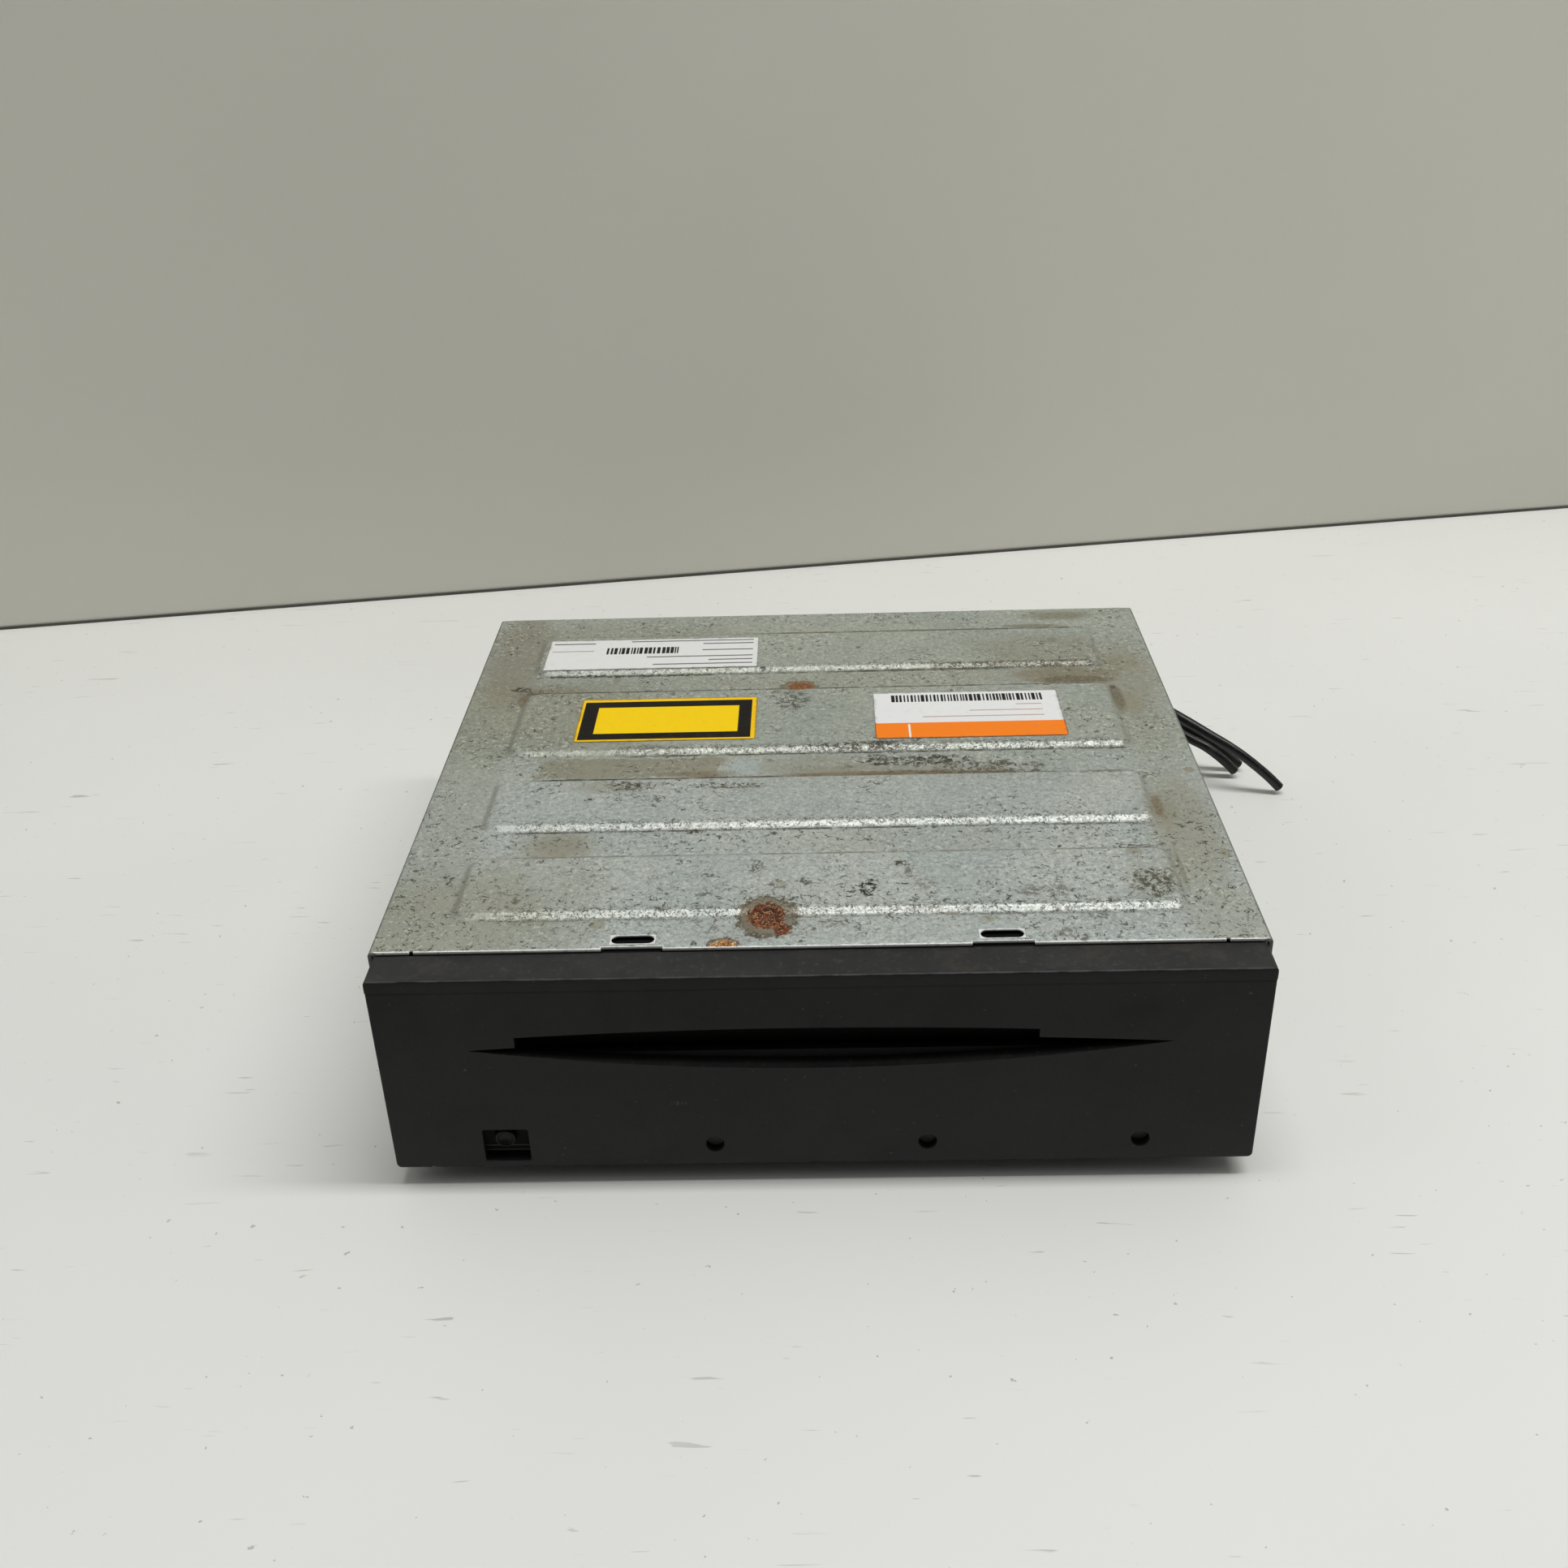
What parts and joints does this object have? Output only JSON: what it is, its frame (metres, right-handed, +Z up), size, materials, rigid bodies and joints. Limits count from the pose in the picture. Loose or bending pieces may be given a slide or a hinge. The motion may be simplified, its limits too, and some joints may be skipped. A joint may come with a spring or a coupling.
{
  "type": "slot-loading car disc player",
  "caption": "Slot-loading car disc player: embossed sheet-metal case, black front with a lens-shaped disc slot, and its loading, clamping and pickup mechanism inside.",
  "frame": {"origin": "middle of the footprint, on the surface that the four feet stand on", "axes": "+X to the right seen from the front, +Y to the rear, +Z up"},
  "size_m": [0.2294, 0.1976, 0.0548],
  "materials": {
    "black_plastic": "fine moulded grain, matte",
    "dark_plastic": "matte",
    "grey_plastic": "matte",
    "white_plastic": "satin, self-lubricating plastic",
    "galvanised_sheet": "galvanised, dulled, with pitting, dirt and rust spots",
    "plated_steel": "zinc plated sheet",
    "bright_steel": "ground or nickel plated",
    "black_rubber": "matte",
    "lead_jacket": "soft plastic jacket, slight sheen",
    "board_laminate": "lacquered laminate",
    "flex_film": "glossy film",
    "lens_glass": "clear coated lens"
  },
  "bodies": {
    "case": {"front_bezel": "black_plastic", "top_cover": "galvanised_sheet", "chassis_tray": "plated_steel", "rear_panel": "plated_steel", "main_board": "board_laminate", "main_connector": "black_plastic", "aerial_socket": "bright_steel", "lead_grommet": "black_rubber", "lead_1": "lead_jacket", "lead_2": "lead_jacket", "lead_3": "lead_jacket", "backing_frame": "dark_plastic", "flap_pin": "bright_steel", "eject_switch": "grey_plastic", "gear_side_plate": "plated_steel", "drive_belt": "black_rubber", "loading_motor": "bright_steel", "deck_plate": "plated_steel", "guide_plate": "dark_plastic", "spindle_motor": "bright_steel", "arm_pin": "bright_steel", "guide_rod_left": "bright_steel", "guide_rod_right": "bright_steel", "sled_motor": "bright_steel", "board_connector": "white_plastic", "flex_cable": "flex_film", "cover_screw_1": "bright_steel", "cover_screw_2": "bright_steel", "cover_screw_3": "bright_steel", "cover_screw_4": "bright_steel", "cover_screw_5": "bright_steel", "cover_screw_6": "bright_steel", "damper_1": "black_rubber", "damper_2": "black_rubber", "damper_3": "black_rubber", "damper_4": "black_rubber"},
    "eject_button": {"eject_button": "black_plastic"},
    "slot_flap": {"slot_flap": "dark_plastic"},
    "roller_bracket": {"roller_bracket": "plated_steel"},
    "roller": {"roller_shaft": "bright_steel", "roller_sleeve": "black_rubber", "roller_gear": "white_plastic"},
    "drive_gear": {"drive_gear": "white_plastic"},
    "pulley_gear": {"pulley_gear": "white_plastic"},
    "motor_rotor": {"motor_pulley": "bright_steel"},
    "cam_slide": {"cam_slide": "grey_plastic"},
    "clamp_arm": {"clamp_arm": "plated_steel"},
    "clamp_puck": {"clamp_puck": "dark_plastic"},
    "turntable": {"turntable": "dark_plastic"},
    "pickup_sled": {"pickup_sled": "dark_plastic", "pickup_lens": "lens_glass"},
    "lead_screw": {"lead_screw": "bright_steel"}
  },
  "joints": [
    {"name": "eject_press", "type": "slide", "parent": "case", "child": "eject_button", "axis": [0, 1, 0], "range_m": [0, 0.0015], "stiffness_N_per_m": 250},
    {"name": "flap_swing", "type": "hinge", "parent": "case", "child": "slot_flap", "pos_m": [0, -0.08253, 0.0407], "axis": [1, 0, 0], "range_deg": [0, 60]},
    {"name": "cam_travel", "type": "slide", "parent": "case", "child": "cam_slide", "axis": [0, 1, 0], "range_m": [0, 0.012]},
    {"name": "bracket_drop", "type": "hinge", "parent": "case", "child": "roller_bracket", "pos_m": [0, -0.04303, 0.0301], "axis": [1, 0, 0], "range_deg": [0, 7.01]},
    {"name": "roller_spin", "type": "hinge", "parent": "roller_bracket", "child": "roller", "pos_m": [0, -0.06903, 0.0301], "axis": [1, 0, 0], "continuous": true},
    {"name": "drive_gear_spin", "type": "hinge", "parent": "case", "child": "drive_gear", "pos_m": [0.0755, -0.06903, 0.04225], "axis": [1, 0, 0], "continuous": true},
    {"name": "pulley_gear_spin", "type": "hinge", "parent": "case", "child": "pulley_gear", "pos_m": [0.072, -0.05955, 0.03678], "axis": [1, 0, 0], "continuous": true},
    {"name": "motor_spin", "type": "hinge", "parent": "case", "child": "motor_rotor", "pos_m": [0.07, -0.024, 0.0188], "axis": [1, 0, 0], "continuous": true},
    {"name": "arm_drop", "type": "hinge", "parent": "case", "child": "clamp_arm", "pos_m": [0, 0.058, 0.044], "axis": [1, 0, 0], "range_deg": [0, 2.61]},
    {"name": "turntable_spin", "type": "hinge", "parent": "case", "child": "turntable", "pos_m": [0, -0.00703, 0.03], "axis": [0, 0, 1], "continuous": true},
    {"name": "puck_spin", "type": "hinge", "parent": "clamp_arm", "child": "clamp_puck", "pos_m": [0, -0.00703, 0.041], "axis": [0, 0, 1], "continuous": true},
    {"name": "sled_travel", "type": "slide", "parent": "case", "child": "pickup_sled", "axis": [0, 1, 0], "range_m": [0, 0.034]},
    {"name": "lead_screw_spin", "type": "hinge", "parent": "case", "child": "lead_screw", "pos_m": [0.034, 0.03, 0.021], "axis": [0, 1, 0], "range_deg": [0, 4081]}
  ],
  "couplings": [
    {"joint": "bracket_drop", "follows": "cam_travel", "rad_per_m": 10.181},
    {"joint": "arm_drop", "follows": "cam_travel", "rad_per_m": 3.7816},
    {"joint": "drive_gear_spin", "follows": "roller_spin", "ratio": -0.66667},
    {"joint": "pulley_gear_spin", "follows": "roller_spin", "ratio": 1.3333},
    {"joint": "motor_spin", "follows": "roller_spin", "ratio": 3.8644},
    {"joint": "puck_spin", "follows": "turntable_spin", "ratio": 1},
    {"joint": "lead_screw_spin", "follows": "sled_travel", "rad_per_m": 2094.4}
  ]
}
